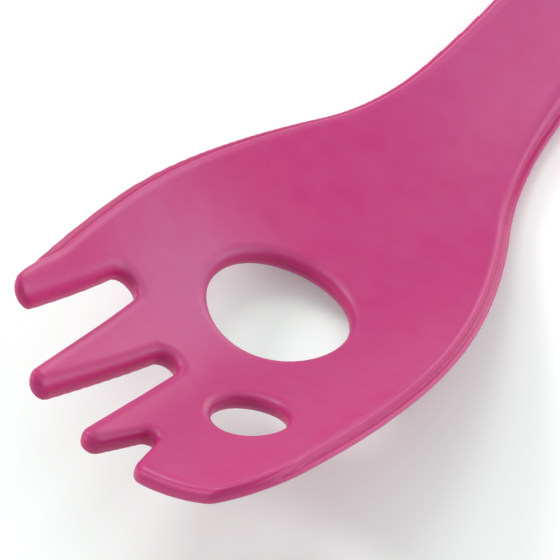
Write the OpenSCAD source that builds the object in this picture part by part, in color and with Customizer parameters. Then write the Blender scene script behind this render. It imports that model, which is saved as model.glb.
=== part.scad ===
// Cooking spork: a soft silicone skin moulded over a stiff nylon core.
// Everything is in millimetres. +X goes to the side with the straight
// scraping edge, +Y runs from the tines to the handle, +Z is up and the
// bowl opens upward. The tool lies on a table at z = 0, on the underside
// of its neck and on the tip of its handle.

/* [Head] */
// Full width of the head at its widest line
head_w = 70.5; // [62:0.5:80]
// How far the widest line is in front of the deepest line of the bowl
belly_ahead = 14; // [8:1:22]
// Thickness of the head
head_t = 4.6; // [4.2:0.1:4.9]
// Radius of the rounded upper edge where the head has its own thickness
upper_r = 1.4; // [1:0.05:1.5]
// Radius of the rounded lower edge
lower_r = 1.1; // [0.8:0.05:1.2]
// Width of the flange that stands out at the foot of the outer edge
flange_w = 1.8; // [1:0.1:2.4]
// Thickness of the flange
flange_t = 2.4; // [2:0.1:2.5]
// Rise of the bowl's sides at half the head width
cup_depth = 12.6; // [6:0.2:16]
// Length over which the cupping grows toward the tines
cup_length = 155; // [130:5:260]
// Radius of the bowl's floor seen from the side
bowl_arc_r = 225; // [205:5:280]
// Distance in front of the deepest line from which the tines run straight
straight_from = 45; // [40:1:52]
// Radius of the head's side in front of the widest line
front_side_r = 267; // [200:1:400]
// Radius of the shoulder behind the widest line
shoulder_r = 126; // [110:1:140]
// Steepest angle at which the shoulder runs in to the neck
shoulder_turn = 26; // [22:0.5:29]

/* [Tines and scraping edge] */
// Place along the side where the tip of the first tine touches it
tine_1_reach = 53.6; // [48:0.1:58]
// Tip radius of the first tine
tine_1_r = 2.2; // [2.15:0.05:3]
// Sideways place of the second tip
tine_2_out = 17.1; // [16.5:0.1:18.5]
// Reach of the second tip's centre
tine_2_reach = 64.5; // [58:0.5:68]
// Tip radius of the second tine
tine_2_r = 2.25; // [2.2:0.05:2.8]
// Sideways place of the third tip
tine_3_out = 3.9; // [3.7:0.1:5]
// Reach of the third tip's centre
tine_3_reach = 65.4; // [62:0.2:67]
// Tip radius of the third tine
tine_3_r = 2.25; // [2.2:0.05:2.7]
// Sideways place of the scraping edge's inner corner
corner_in_out = 8.6; // [8.4:0.1:10]
// Reach of the inner corner's centre
corner_in_reach = 64.8; // [64:0.1:66.5]
// Radius of the inner corner
corner_in_r = 3.2; // [2.5:0.1:3.6]
// Sideways place of the scraping edge's outer corner
corner_end_out = 22.1; // [20:0.1:23.5]
// Reach of the outer corner's centre
corner_end_reach = 66.8; // [65.5:0.1:69]
// Radius of the outer corner
corner_end_r = 2.9; // [2.8:0.1:5]
// Radius of the cheek that leads from the side to the outer corner
cheek_r = 26; // [20:0.5:30]

/* [Notches] */
// Sideways place of the first notch's round end
notch_1_out = 22.5; // [22:0.1:24]
// Reach of the first notch's round end
notch_1_reach = 29; // [26:0.5:34]
// Radius of the first notch's round end
notch_1_r = 2.8; // [2.1:0.1:3]
// Sideways place of the second notch's round end
notch_2_out = 7; // [6.6:0.1:9]
// Reach of the second notch's round end
notch_2_reach = 36.1; // [33:0.1:42]
// Radius of the second notch's round end
notch_2_r = 2.4; // [1.9:0.1:2.5]
// Sideways place of the third notch's round end
notch_3_in = 3; // [2.3:0.1:3.3]
// Reach of the third notch's round end
notch_3_reach = 57.2; // [54:0.2:58]
// Radius of the third notch's round end
notch_3_r = 1.4; // [1.3:0.1:1.8]

/* [Drain holes] */
// Radius of the large hole in the floor of the bowl
big_hole_r = 14; // [11:0.5:16]
// Sideways place of the large hole
big_hole_out = 0.7; // [0:0.1:2]
// Reach of the large hole's centre
big_hole_reach = 5.4; // [3:0.1:8]
// Radius of the small hole beside it
small_hole_r = 6.9; // [4:0.1:7]
// Sideways place of the small hole
small_hole_in = 12.9; // [11.5:0.1:13.3]
// Reach of the small hole's centre
small_hole_reach = 37.9; // [36:0.1:39]
// Radius of the rounded lips of the holes
lip_r = 2; // [1:0.1:2.1]

/* [Handle] */
// Radius of the hollow curve from the shoulder to the neck
neck_r = 79; // [60:1:95]
// Angle at which the neck still narrows where the waist curve begins
neck_in = 6; // [5:0.5:8]
// Radius of the long waist of the handle
waist_r = 620; // [500:10:700]
// Angle at which the grip widens toward its end
grip_flare = 1.5; // [1:0.1:2.5]
// Distance from the deepest line of the bowl to the centre of the end
handle_reach = 209; // [190:1:215]
// Angle at which the bowl's floor hands over to the handle
handle_rise = 22; // [20:0.5:24]
// Radius of the handle's arch seen from the side
handle_arc_r = 394; // [380:2:600]
// Place where the neck begins to thicken
thick_start = 34; // [30:1:50]
// Place where the cupping of the bowl begins to run out
neck_start = 62; // [60:1:68]
// Place where the grip has its full thickness
grip_start = 132; // [120:1:145]
// Thickness of the grip
grip_t = 8.6; // [7:0.2:10]
// Thickness at the end of the handle
end_t = 7.4; // [6.4:0.2:8.4]
// Radius of the hanging hole
hang_r = 4; // [3:0.25:5]
// Radius of the rounded mouth of the hanging hole
hang_lip_r = 1.1; // [0.6:0.1:1.2]
// How far the skin's mouth stays back from the bore in the core
hang_relief = 0.4; // [0.2:0.1:0.8]

/* [Core] */
// Thickness of the silicone that covers the nylon core all round
cover = 1.3; // [1.1:0.05:1.4]
// Radius of the holes through which the skin bonds to itself
bond_r = 2; // [1.5:0.1:2.6]
// Spacing of the bonding holes along the handle
bond_pitch = 24; // [20:1:28]

/* [Hidden] */
silicone_pink = "#C4558A";
nylon_grey = "#4A4A4E";
overrun = head_t;
half_w = head_w / 2;
belly_y = -belly_ahead;
// Length over which the flange grows to its full width
flange_run = 22;
// Height of the hollow above the flange, and the share of the flange's width that it takes
hollow_h = 0.25;
hollow_share = 0.3;

// Radius of the upper edge where the thickness is t
function edge_r(t) = upper_r * t / head_t;
function lerp(a, b, f) = a + (b - a) * f;
function ease(f) = let (c = min(1, max(0, f))) c * c * (3 - 2 * c);
function polar(a) = [cos(a), sin(a)];
function sagitta(r, d) = r - sqrt(r * r - d * d);

// Half width of the outline: front side, shoulder, neck, waist and grip
shoulder_end_y = belly_y + shoulder_r * sin(shoulder_turn);
shoulder_end_w = half_w - shoulder_r * (1 - cos(shoulder_turn));
neck_mid_y = shoulder_end_y + neck_r * sin(shoulder_turn);
neck_end_y = neck_mid_y - neck_r * sin(neck_in);
neck_end_w = shoulder_end_w - neck_r * (cos(neck_in) - cos(shoulder_turn));
waist_y = neck_end_y + waist_r * sin(neck_in);
waist_w = neck_end_w - waist_r * (1 - cos(neck_in));
flare_y = waist_y + waist_r * sin(grip_flare);
flare_w = waist_w + waist_r * (1 - cos(grip_flare));

function half_width(y) =
    y < belly_y ? half_w - sagitta(front_side_r, y - belly_y) :
    y < shoulder_end_y ? half_w - sagitta(shoulder_r, y - belly_y) :
    y < neck_end_y ? shoulder_end_w + sagitta(neck_r, neck_mid_y - y) - neck_r * (1 - cos(shoulder_turn)) :
    y < flare_y ? waist_w + sagitta(waist_r, y - waist_y) :
    flare_w + (y - flare_y) * tan(grip_flare);

// Angle of the side: positive where it widens toward the handle
function side_angle(y) =
    y < belly_y ? asin((belly_y - y) / front_side_r) :
    y < shoulder_end_y ? -asin((y - belly_y) / shoulder_r) :
    y < neck_end_y ? -asin((neck_mid_y - y) / neck_r) :
    y < flare_y ? asin((y - waist_y) / waist_r) :
    grip_flare;

// A rim point is a place on the outline, the direction into the material and
// the share of the flange's width there. s is 1 on the right and -1 on the left.
function side_rim(y, s) = let (a = side_angle(y))
    [[s * half_width(y), y], [-s * cos(a), sin(a)], flange_at(y, s)];
// The flange grows behind the tip of the first tine and behind the scraping edge
function flange_at(y, s) = ease((y + (s > 0 ? corner_end_reach : tine_1_reach)) / flange_run);
// Rim point of an outer corner or tip, and of the round end of a notch
function corner_rim(c, r, a, share = 0) = [c + r * polar(a), -polar(a), share];
function notch_rim(c, r, a) = [c + r * polar(a), polar(a), 0];
function rim_lerp(p, q, f) = [lerp(p[0], q[0], f), p[1], 0];
function inset(rim, d) = rim[0] + d * rim[1];

// Centres and radii of tips, corners and notches
tine_1_side = side_rim(-tine_1_reach, -1);
tips = [
    [inset(tine_1_side, tine_1_r), tine_1_r],
    [[-tine_2_out, -tine_2_reach], tine_2_r],
    [[-tine_3_out, -tine_3_reach], tine_3_r],
    [[corner_in_out, -corner_in_reach], corner_in_r]
];
notches = [
    [[-notch_1_out, -notch_1_reach], notch_1_r],
    [[-notch_2_out, -notch_2_reach], notch_2_r],
    [[notch_3_in, -notch_3_reach], notch_3_r]
];
corner_end = [[corner_end_out, -corner_end_reach], corner_end_r];

// Direction from a tip to the straight wall that also touches a notch's end
function aim(p, q) = atan2(q[1] - p[1], q[0] - p[0]);
function wall_spread(tip, notch) = acos((tip[1] + notch[1]) / norm(notch[0] - tip[0]));
function right_wall(tip, notch) = aim(tip[0], notch[0]) - wall_spread(tip, notch);
function left_wall(tip, notch) = aim(tip[0], notch[0]) + wall_spread(tip, notch);

// Direction in which the scraping edge faces
scrape_gap = norm(corner_end[0] - tips[3][0]);
scrape_dir = 360 + aim(tips[3][0], corner_end[0]) - acos((corner_in_r - corner_end_r) / scrape_gap);

// Centre of the cheek: it touches the side and the outer corner from inside
side_mid = [half_w - front_side_r, belly_y];
cheek_gap = norm(corner_end[0] - side_mid);
cheek_along = (pow(front_side_r - cheek_r, 2) - pow(cheek_r - corner_end_r, 2) + cheek_gap * cheek_gap)
    / (2 * cheek_gap);
cheek_across = sqrt(pow(front_side_r - cheek_r, 2) - cheek_along * cheek_along);
cheek_aim = aim(side_mid, corner_end[0]);
cheek_mid = side_mid + cheek_along * polar(cheek_aim) + cheek_across * polar(cheek_aim + 90);
cheek_from = 360 + aim(cheek_mid, corner_end[0]);
cheek_to = 360 + aim(side_mid, cheek_mid);
cheek_end_y = (side_mid + front_side_r * polar(cheek_to))[1];

// The round end of the handle touches both sides of the grip
end_r = half_width(handle_reach) * cos(grip_flare);
end_mid = [0, handle_reach];
end_y = handle_reach + end_r;

// Steps of one sheet: [corner, wall, notch, tine cells, scraper cells, join, blend, head, handle, end]
skin_steps = [3, 4, 4, 3, 6, 3, 4, 9, 12, 4];
core_steps = [2, 2, 3, 2, 4, 2, 3, 6, 10, 3];
// Steps of the skin's upper edge, of the flange's nose and of the lower edge
upper_steps = 3;
nose_steps = 2;
lower_steps = 2;
// Share of the core's half thickness that its edge chamfer takes
core_edge_share = 0.5;
bond_count = 6;
// Share of a row's length, and the longest way, over which it leaves a notch squarely
row_bow = 0.4;
bow_reach = 2 * notch_1_r;
// Where the left walls of the second and third tine are split between rows
// of the tine and rows of the part that has joined with its neighbour
split_shares = [0, 0.9, 0.37];
split_run = 0.14;
// Places on the right side, from front to back, where two parts join
join_shares = [0.75, 0.48, 0.34];
join_ys = [for (share = join_shares) -corner_end_reach * share];
// Places on the first tine's side, where its rows bend and where it joins
first_shares = [0.55, 0.44];
first_near_y = -tine_1_reach * first_shares[0];
first_join_y = -tine_1_reach * first_shares[1];
// Angle at which the last row of the handle meets its round end
end_turn = 55;

// Rims of each lobe's front, from left to right
function tip_from(i) = i == 0 ? 180 + side_angle(-tine_1_reach) : left_wall(tips[i], notches[i - 1]);
function tip_to(i) = 360 + right_wall(tips[i], notches[i]);
function tip_rim(g, i, k) =
    corner_rim(tips[i][0], tips[i][1], lerp(tip_from(i), tip_to(i), k / (2 * g[0] + g[3])));
function front_rims(g, i) = i < 3
    ? [for (k = [g[0]:g[0] + g[3]]) tip_rim(g, i, k)]
    : let (p = corner_rim(tips[3][0], tips[3][1], scrape_dir),
           q = corner_rim(corner_end[0], corner_end[1], scrape_dir))
        [for (k = [0:g[4]]) rim_lerp(p, q, k / g[4])];

function cheek_rim(a) = corner_rim(cheek_mid, cheek_r, a, flange_at(cheek_mid[1] + cheek_r * sin(a), 1));

// Part of the straight wall between a tip and a notch, and a notch's quarter
function wall_rims(n, tip, notch, a, from, to) =
    let (p = corner_rim(tip[0], tip[1], a), q = notch_rim(notch[0], notch[1], a + 180))
    [for (k = [1:n]) rim_lerp(p, q, lerp(from, to, k / n))];
function notch_rims(n, notch, a) =
    [for (k = [1:n]) notch_rim(notch[0], notch[1], lerp(a, 90, k / n))];
function side_rims(n, from, to, s) = [for (k = [1:n]) side_rim(lerp(from, to, k / n), s)];

// Left and right rims of a lobe, from its front to where it joins
function left_rims(g, i) =
    i == 0 ? concat([for (k = [g[0] - 1:-1:0]) tip_rim(g, 0, k)],
        side_rims(g[1], -tine_1_reach, first_near_y, -1), side_rims(g[2], first_near_y, first_join_y, -1)) :
    let (a = left_wall(tips[i], notches[i - 1]))
    i < 3 ? concat([for (k = [g[0] - 1:-1:0]) tip_rim(g, i, k)],
        wall_rims(g[1], tips[i], notches[i - 1], a, 0, split_shares[i] - split_run),
        wall_rims(g[2], tips[i], notches[i - 1], a, split_shares[i] - split_run, split_shares[i])) :
    concat([for (k = [1:g[0]]) corner_rim(tips[3][0], tips[3][1], lerp(scrape_dir, a, k / g[0]))],
        wall_rims(g[1], tips[3], notches[2], a, 0, 1),
        notch_rims(g[2], notches[2], a - 180));
function right_rims(g, i) = i < 3
    ? let (a = right_wall(tips[i], notches[i])) concat(
        [for (k = [g[0] + g[3] + 1:2 * g[0] + g[3]]) tip_rim(g, i, k)],
        wall_rims(g[1], tips[i], notches[i], a, 0, 1),
        notch_rims(g[2], notches[i], a + 180))
    : concat(
        [for (k = [1:g[0]]) corner_rim(corner_end[0], corner_end[1], lerp(scrape_dir, cheek_from, k / g[0]))],
        [for (k = [1:g[2]]) cheek_rim(lerp(cheek_from, cheek_to, k / g[2]))],
        side_rims(g[1], cheek_end_y, join_ys[0], 1));
// Left rims of the part that a tine and its right neighbours have become
function joined_rims(g, i) = let (a = left_wall(tips[i], notches[i - 1])) concat(
    wall_rims(g[5], tips[i], notches[i - 1], a, split_shares[i], 1),
    notch_rims(g[2], notches[i - 1], a - 180));

// Rims of one side of the palm and handle up to the round end, and of that
function palm_rims(g, s) = concat(
    side_rims(g[6], s < 0 ? first_join_y : join_ys[2], belly_y, s),
    side_rims(g[7], belly_y, neck_start, s),
    side_rims(g[8], neck_start, handle_reach - end_r * sin(grip_flare), s),
    [for (k = [1:g[9]]) let (a = lerp(-grip_flare, end_turn, k / (g[9] + 1)))
        corner_rim(end_mid, end_r, s > 0 ? a : 180 - a, 1)]);
function end_rims(g) = let (n = 3 * g[3] + g[4])
    [for (k = [0:n]) corner_rim(end_mid, end_r, lerp(180 - end_turn, end_turn, k / n), 1)];

// Upper surface: straight tines, bowl, arched handle, and the cupping
straight_turn = asin(straight_from / bowl_arc_r);
handle_y = bowl_arc_r * sin(handle_rise);
arch_y = handle_y + handle_arc_r * sin(handle_rise);
arch_drop = handle_arc_r * cos(handle_rise) - sagitta(bowl_arc_r, handle_y);
function spine(y) =
    y < -straight_from ? sagitta(bowl_arc_r, straight_from) - (y + straight_from) * tan(straight_turn) :
    y < handle_y ? sagitta(bowl_arc_r, y) :
    sqrt(pow(handle_arc_r, 2) - pow(y - arch_y, 2)) - arch_drop;
function cup(y) = cup_depth / (half_w * half_w) * exp(-y / cup_length)
    * (1 - ease((y - neck_start) / (grip_start - neck_start)));
function top_z(p) = spine(p[1]) + cup(p[1]) * p[0] * p[0];
function thickness(y) = head_t
    + (grip_t - head_t) * ease((y - thick_start) / (grip_start - thick_start))
    - (grip_t - end_t) * ease((y - grip_start) / (end_y - grip_start));

// Profiles of the outer edge, as pairs of inset and depth from the upper to the
// lower face. The skin has a round upper edge, a wall, a hollow above the flange,
// the flange's nose and a round lower edge. Without a flange its wall is plain.
skin_edge = function (rim) let (
    t = thickness(rim[0][1]), w = flange_w * rim[2], r = edge_r(t), foot = t - flange_t,
    nose = flange_t - lower_r, out = w * (1 - hollow_share))
    concat(
        [for (k = [0:upper_steps]) let (a = 90 * k / upper_steps) [w + r * (1 - sin(a)), r * (1 - cos(a))]],
        [[w, max(foot - hollow_h, r + hollow_h)], [out, foot + hollow_h]],
        [for (k = [1:nose_steps]) let (a = 90 * k / nose_steps)
            [out * (1 - sin(a)), foot + hollow_h + (nose - hollow_h) * (1 - cos(a))]],
        [for (k = [1:lower_steps]) let (a = 90 * k / lower_steps)
            [lower_r * (1 - cos(a)), t - lower_r * (1 - sin(a))]],
        [[w + r, t]]);
core_edge = function (rim) let (
    t = thickness(rim[0][1]), w = cover + flange_w * rim[2], r = core_edge_share * (t / 2 - cover))
    [[w + r, cover], [w, cover + r], [w, t - cover - r], [w + r, t - cover]];

// Closed sheet that follows the upper surface. Its outer edge has the profile
// edge, and its faces lie at the depths at which that profile starts and ends.
module sheet(g, edge) {
    function shrink(rim) = inset(rim, edge(rim)[0][0]);
    cover_z = edge(tine_1_side)[0][1];
    function upper(p) = [p[0], p[1], top_z(p) - cover_z];
    function lower(p) = [p[0], p[1], top_z(p) - thickness(p[1]) + cover_z];

    // A row from rim p to rim q that leaves a notch's round end squarely
    function leave(p, gap) = let (up = pow(max(0, p[1][1]), 3))
        lerp(gap / 3, min(row_bow * norm(gap), bow_reach) * p[1], up);
    function row(p, q, m) =
        let (a = shrink(p), b = shrink(q), c = a + leave(p, b - a), e = b + leave(q, a - b))
        [for (k = [0:m]) let (t = k / m, u = 1 - t)
            u * u * u * a + 3 * u * u * t * c + 3 * u * t * t * e + t * t * t * b];
    function straight(p, q, m) = [for (k = [0:m]) lerp(shrink(p), shrink(q), k / m)];

    // Rows of a lobe: its front, straight rows, and rows past the notch's end
    function lobe(i) = let (left = left_rims(g, i), right = right_rims(g, i), m = i < 3 ? g[3] : g[4])
        concat([[for (rim = front_rims(g, i)) shrink(rim)]], [for (j = [0:len(left) - 1])
            j < g[0] + g[1] ? straight(left[j], right[j], m) : row(left[j], right[j], m)]);
    // Rows that start from first and fade to plain rows within the first n
    function faded(first, before_l, before_r, left, right, n) =
        let (m = len(first) - 1, plain = row(before_l, before_r, m))
        concat([first], [for (j = [0:len(left) - 1])
            let (now = row(left[j], right[j], m), f = pow(max(0, 1 - (j + 1) / n), 2))
            [for (k = [0:m]) now[k] + f * (first[k] - plain[k])]]);
    function last(v) = v[len(v) - 1];
    function beside(a, b) = concat(a, [for (k = [1:len(b) - 1]) b[k]]);

    lobes = [for (i = [0:3]) lobe(i)];
    join = g[5] + g[2];
    right_3 = side_rims(join, join_ys[0], join_ys[1], 1);
    right_2 = side_rims(join, join_ys[1], join_ys[2], 1);
    pair = faded(beside(last(lobes[2]), last(lobes[3])),
        last(left_rims(g, 2)), last(right_rims(g, 3)), joined_rims(g, 2), right_3, join);
    trio = faded(beside(last(lobes[1]), last(pair)),
        last(left_rims(g, 1)), last(right_3), joined_rims(g, 1), right_2, join);
    palm_left = palm_rims(g, -1);
    palm_right = palm_rims(g, 1);
    palm = faded(beside(last(lobes[0]), last(trio)),
        last(left_rims(g, 0)), last(right_2), palm_left, palm_right, g[6]);
    patches = concat(lobes, [pair, trio, concat(palm, [[for (rim = end_rims(g)) shrink(rim)]])]);

    // The outline in one loop, counted anticlockwise
    function back(v) = [for (k = [len(v) - 1:-1:0]) v[k]];
    function most(v) = [for (k = [1:len(v) - 1]) v[k]];
    loop = concat(
        [for (i = [0:3]) each concat(
            i == 1 || i == 2 ? most(back(joined_rims(g, i))) : [],
            i == 3 ? most(back(left_rims(g, i))) : i > 0 ? back(left_rims(g, i)) : [],
            front_rims(g, i), right_rims(g, i))],
        right_3, right_2, palm_right, back(end_rims(g)), back(palm_left), back(left_rims(g, 0)));
    steps = len(edge(tine_1_side)) - 1;
    edges = [for (rim = loop) let (profile = edge(rim)) concat(
        [upper(shrink(rim))],
        [for (k = [1:steps - 1]) let (p = inset(rim, profile[k][0])) [p[0], p[1], top_z(p) - profile[k][1]]],
        [lower(shrink(rim))])];

    function halves(q) = [[q[0], q[1], q[2]], [q[0], q[2], q[3]]];
    triangles = concat(
        [for (rows = patches, j = [0:len(rows) - 2], k = [0:len(rows[j]) - 2])
            let (q = [rows[j][k], rows[j + 1][k], rows[j + 1][k + 1], rows[j][k + 1]]) each concat(
                halves([for (p = q) upper(p)]),
                halves([for (k = [3:-1:0]) lower(q[k])]))],
        [for (e = [0:len(loop) - 1], k = [0:steps - 1]) let (f = (e + 1) % len(loop))
            each halves([edges[e][k], edges[f][k], edges[f][k + 1], edges[e][k + 1]])]);
    polyhedron(
        points = [for (t = triangles) each t],
        faces = [for (k = [0:len(triangles) - 1]) [3 * k, 3 * k + 1, 3 * k + 2]]);
}

// Cutter for a drain hole: its rounded lips follow both faces of the head
lip_turn = 72;
lip_steps = 3;
hole_facets = 32;
module drain_cutter(c, r) {
    lip = [for (k = [0:lip_steps]) let (a = lip_turn * (1 - k / lip_steps))
        [r + lip_r * (1 - cos(a)), lip_r * (sin(lip_turn) - sin(a))]];
    profile = concat(
        [[lip[0][0], -overrun]], lip,
        [for (k = [lip_steps:-1:0]) [lip[k][0], head_t - lip[k][1]]],
        [[lip[0][0], head_t + overrun]]);
    rings = len(profile);
    n = hole_facets;
    function ring_point(q, k) = let (p = c + q[0] * polar(360 * k / n)) [p[0], p[1], top_z(p) - q[1]];
    polyhedron(
        points = [for (q = profile) each [for (k = [0:n - 1]) ring_point(q, k)]],
        faces = concat(
            [[for (k = [n - 1:-1:0]) k]],
            [for (j = [0:rings - 2], k = [0:n - 1]) let (a = j * n + k, b = j * n + (k + 1) % n)
                each [[a, b, b + n], [a, b + n, a + n]]],
            [[for (k = [0:n - 1]) (rings - 1) * n + k]]));
}

// Hanging hole, square to the handle's upper face. Its bore is in the core,
// and the skin's rounded mouths stop a little short of it.
hang_slope = asin((arch_y - handle_reach) / handle_arc_r);
hang_t = thickness(handle_reach);
module at_hang_hole() {
    translate([0, handle_reach, spine(handle_reach)]) rotate([hang_slope, 0, 0]) children();
}
mouth_facets = 24;
module hang_mouth() {
    mouth_r = hang_r + hang_relief;
    sink = hang_lip_r * sin(lip_turn);
    wide_r = mouth_r + hang_lip_r * (1 - cos(lip_turn));
    rotate_extrude($fn = mouth_facets) {
        translate([0, -hang_t / 2])
            square([mouth_r, hang_t / 2]);
        square([wide_r, overrun]);
        difference() {
            translate([0, -sink])
                square([wide_r, sink]);
            translate([mouth_r + hang_lip_r, -sink])
                circle(r = hang_lip_r);
        }
    }
}
module hang_mouths() {
    at_hang_hole() {
        hang_mouth();
        translate([0, 0, -hang_t]) mirror([0, 0, 1]) hang_mouth();
    }
}

// The core ends one cover's thickness inside the skin, also round the holes
big_hole_mid = [-big_hole_out, -big_hole_reach];
small_hole_mid = [small_hole_in, -small_hole_reach];
rim_facets = 36;
bond_facets = 14;
module upright(c, r) {
    translate([c[0], c[1], -2 * overrun])
        cylinder(r = r, h = handle_reach, $fn = r > 2 * bond_r ? rim_facets : bond_facets);
}
module core_plate() {
    difference() {
        sheet(core_steps, core_edge);
        upright(big_hole_mid, big_hole_r + cover);
        upright(small_hole_mid, small_hole_r + cover);
        for (k = [0:bond_count - 1])
            upright([0, neck_start + k * bond_pitch], bond_r);
    }
}

// Rest on the table, on the neck's underside and the end of the handle: the
// tilt at which both are equally low is found by halving a range of angles
rest_places = 200;
rest_halvings = 20;
function rest_y(p, tilt) = p[1] * cos(tilt) + p[2] * sin(tilt);
function rest_z(p, tilt) = p[2] * cos(tilt) - p[1] * sin(tilt);
function edge_points(rim) = [for (q = skin_edge(rim))
    let (p = inset(rim, q[0])) [p[0], p[1], top_z(p) - q[1]]];
handle_end = edge_points(corner_rim(end_mid, end_r, 90, 1));
front_end = edge_points(corner_rim(corner_end[0], corner_end_r, scrape_dir));
underside = [for (k = [0:rest_places])
    let (y = grip_start * k / rest_places) [0, y, spine(y) - thickness(y)]];
function lowest(points, tilt) = min([for (p = points) rest_z(p, tilt)]);
function level(low, high, n) = let (mid = (low + high) / 2)
    n == 0 ? mid :
    lowest(underside, mid) > lowest(handle_end, mid) ? level(low, mid, n - 1) : level(mid, high, n - 1);
rest_tilt = level(0, handle_rise, rest_halvings);
rest_lift = -lowest(underside, rest_tilt);
// Reach of the tool's two ends along the table
far_y = max([for (p = handle_end) rest_y(p, rest_tilt)]);
near_y = min([for (p = front_end) rest_y(p, rest_tilt)]);
rest_mid = (far_y + near_y) / 2;
module at_rest() {
    translate([0, -rest_mid, rest_lift]) rotate([-rest_tilt, 0, 0]) children();
}

module silicone_skin() {
    color(silicone_pink) at_rest() resize([head_w, 0, 0]) difference() {
        sheet(skin_steps, skin_edge);
        drain_cutter(big_hole_mid, big_hole_r);
        drain_cutter(small_hole_mid, small_hole_r);
        core_plate();
        hang_mouths();
    }
}

module nylon_core() {
    color(nylon_grey) at_rest() difference() {
        core_plate();
        at_hang_hole()
            translate([0, 0, -hang_t])
                cylinder(r = hang_r, h = hang_t);
    }
}

silicone_skin();
nylon_core();
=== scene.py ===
"""Silicone spork over a stiff nylon core, on a pale table.

The skin is drawn flat from arcs, given its rounded edges ring by ring, pierced,
and then dished and laid on the table as the CAD part lies. The core keeps the CAD
part's mesh and gets its finish. Lengths are in metres.
"""

import math

import bpy
from bpy.props import FloatProperty, FloatVectorProperty, IntProperty, PointerProperty
from mathutils import Matrix, Vector


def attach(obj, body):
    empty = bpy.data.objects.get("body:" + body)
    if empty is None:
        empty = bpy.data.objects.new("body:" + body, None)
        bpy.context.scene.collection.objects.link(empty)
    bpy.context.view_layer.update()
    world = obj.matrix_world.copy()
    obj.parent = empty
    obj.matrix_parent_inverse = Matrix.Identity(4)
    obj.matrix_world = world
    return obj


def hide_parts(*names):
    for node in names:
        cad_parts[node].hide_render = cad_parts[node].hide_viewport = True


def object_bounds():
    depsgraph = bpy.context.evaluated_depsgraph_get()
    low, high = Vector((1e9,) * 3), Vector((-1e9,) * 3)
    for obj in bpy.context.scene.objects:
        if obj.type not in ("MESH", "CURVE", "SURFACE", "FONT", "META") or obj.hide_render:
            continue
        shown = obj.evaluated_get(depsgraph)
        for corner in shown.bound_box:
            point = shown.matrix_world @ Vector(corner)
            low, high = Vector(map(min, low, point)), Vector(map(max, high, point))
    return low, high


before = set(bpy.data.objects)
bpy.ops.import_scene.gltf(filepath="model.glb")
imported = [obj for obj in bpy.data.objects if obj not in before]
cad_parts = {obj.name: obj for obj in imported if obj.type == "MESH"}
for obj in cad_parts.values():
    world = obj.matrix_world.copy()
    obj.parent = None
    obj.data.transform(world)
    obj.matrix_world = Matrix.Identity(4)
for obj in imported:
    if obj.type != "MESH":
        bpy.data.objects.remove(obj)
cad_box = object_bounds()

bl_info = {
    "name": "Spork",
    "version": (1, 0, 0),
    "blender": (4, 5, 0),
    "location": "View3D > Sidebar > Spork",
    "description": "Builds a soft kitchen spork and a plain stage round it",
    "category": "Object",
}

MM = 0.001

# Attribute of the skin: how far a point lies below the line on which the flange begins
BELOW_FOOT = "below_foot"

# Head: outline arcs, thickness and dish
HEAD_HALF = (cad_box[1][0] - cad_box[0][0]) / 2
BELLY_Y = -14 * MM
HEAD_T = 4.6 * MM
CUP_DEPTH = 12.6 * MM
CUP_LENGTH = 155 * MM
BOWL_ARC_R = 225 * MM
STRAIGHT_Y = -45 * MM
FRONT_SIDE_R = 267 * MM
SHOULDER_R = 126 * MM
SHOULDER_TURN = math.radians(26)
FRONT_SIDE_MID = Vector((HEAD_HALF - FRONT_SIDE_R, BELLY_Y))

# Outer edge: a rounded upper edge, a wall, and a flange that stands out at its foot.
# Where there is no flange, as round the tines, the upper edge is rounder.
UPPER_R = 1.8 * MM
TINE_EDGE_R = 2.1 * MM
LOWER_R = 1.1 * MM
FLANGE_W = 1.8 * MM
FLANGE_T = 2.4 * MM
FLANGE_RUN = 17 * MM

# Slope from the wall to the flange: half its height, and its share of the flange's width
HOLLOW_H = 0.25 * MM
HOLLOW_SHARE = 0.3

# Tips and corners, then notches, from the first tine to the scraping edge
TINE_1_REACH = 53.6 * MM
TINE_1_R = 2.2 * MM
TINE_2 = (Vector((-17.1, -64.5)) * MM, 2.25 * MM)
TINE_3 = (Vector((-3.9, -65.4)) * MM, 2.25 * MM)
CORNER_IN = (Vector((8.6, -64.8)) * MM, 3.2 * MM)
CORNER_END = (Vector((22.1, -66.8)) * MM, 2.9 * MM)
CHEEK_R = 26 * MM
NOTCHES = (
    (Vector((-22.5, -29)) * MM, 2.8 * MM),
    (Vector((-7, -36.1)) * MM, 2.4 * MM),
    (Vector((3, -57.2)) * MM, 1.4 * MM),
)

# Drain holes
BIG_HOLE = (Vector((-0.7, -5.4)) * MM, 14 * MM)
SMALL_HOLE = (Vector((12.9, -37.9)) * MM, 6.9 * MM)
LIP_R = 2 * MM

# Handle
NECK_R = 79 * MM
NECK_IN = math.radians(6)
WAIST_R = 620 * MM
GRIP_FLARE = math.radians(1.5)
HANDLE_REACH = 209 * MM
HANDLE_RISE = math.radians(22)
HANDLE_ARC_R = 394 * MM
THICK_START = 34 * MM
NECK_START = 62 * MM
GRIP_START = 132 * MM
GRIP_T = 8.6 * MM
END_T = 7.4 * MM
HANG_R = 4.4 * MM
HANG_LIP_R = 1.1 * MM

# Pale bloom and painted light on the silicone: a painted highlight beside the bowl fades between
# two distances from a place on the left, and a painted sheen grows toward the handle between two
# values of y
LEFT_HIGHLIGHT_PLACE = (-21 * MM, -94 * MM, 10 * MM)
LEFT_HIGHLIGHT_NEAR = 4 * MM
LEFT_HIGHLIGHT_FAR = 33 * MM
HANDLE_SHEEN_FROM = -60 * MM
HANDLE_SHEEN_TO = 10 * MM

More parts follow.
